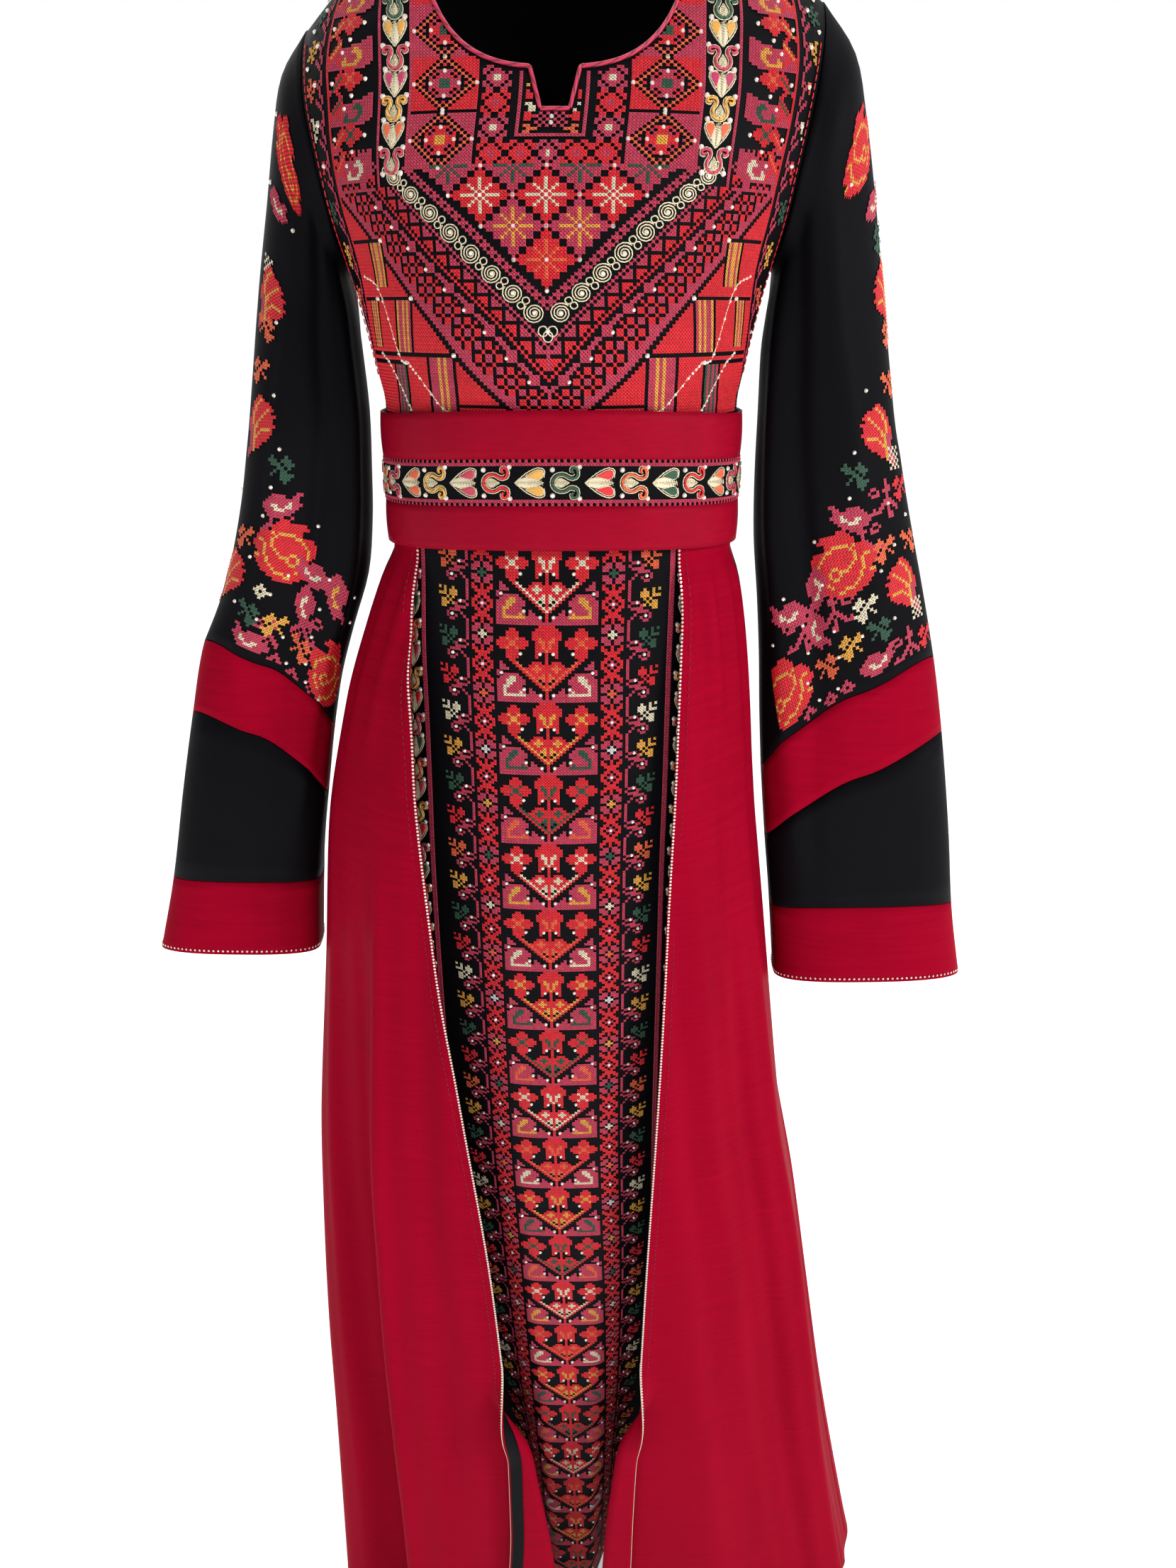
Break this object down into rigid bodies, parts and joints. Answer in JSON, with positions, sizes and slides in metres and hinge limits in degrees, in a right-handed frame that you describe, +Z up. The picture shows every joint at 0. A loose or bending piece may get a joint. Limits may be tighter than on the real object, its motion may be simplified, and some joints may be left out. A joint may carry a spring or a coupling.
{
  "type": "palestinian thobe dress",
  "caption": "Worn, hollow Palestinian thobe: embroidered bodice and bell sleeves, wide belt, embroidered inner skirt and an open satin overskirt.",
  "frame": {"origin": "middle of the neck opening, level with the shoulder seams' neck ends, where the wearer's neck and shoulders hold the dress", "axes": "+Z up, the front faces -Y, +X is the wearer's left"},
  "size_m": [0.6508, 0.3285, 1.4479],
  "materials": {
    "black_crepe": "matte crepe weave",
    "crimson_satin": "soft satin sheen",
    "embroidery_thread": "glossy stranded cotton",
    "belt_strip": "matte ground under couched cords"
  },
  "bodies": {
    "root": {"belt_centre": "belt_strip", "belt_lower": "crimson_satin", "belt_upper": "crimson_satin", "bodice_back": "black_crepe", "bodice_front": "black_crepe", "cuff_band_left": "crimson_satin", "cuff_band_right": "crimson_satin", "neck_binding": "embroidery_thread", "overskirt_back": "crimson_satin", "overskirt_front_left": "crimson_satin", "overskirt_front_right": "crimson_satin", "sleeve_band_left": "crimson_satin", "sleeve_band_right": "crimson_satin", "sleeve_lower_left": "black_crepe", "sleeve_lower_right": "black_crepe", "sleeve_upper_left": "black_crepe", "sleeve_upper_right": "black_crepe", "underskirt_back": "black_crepe", "underskirt_front": "black_crepe"}
  },
  "joints": []
}
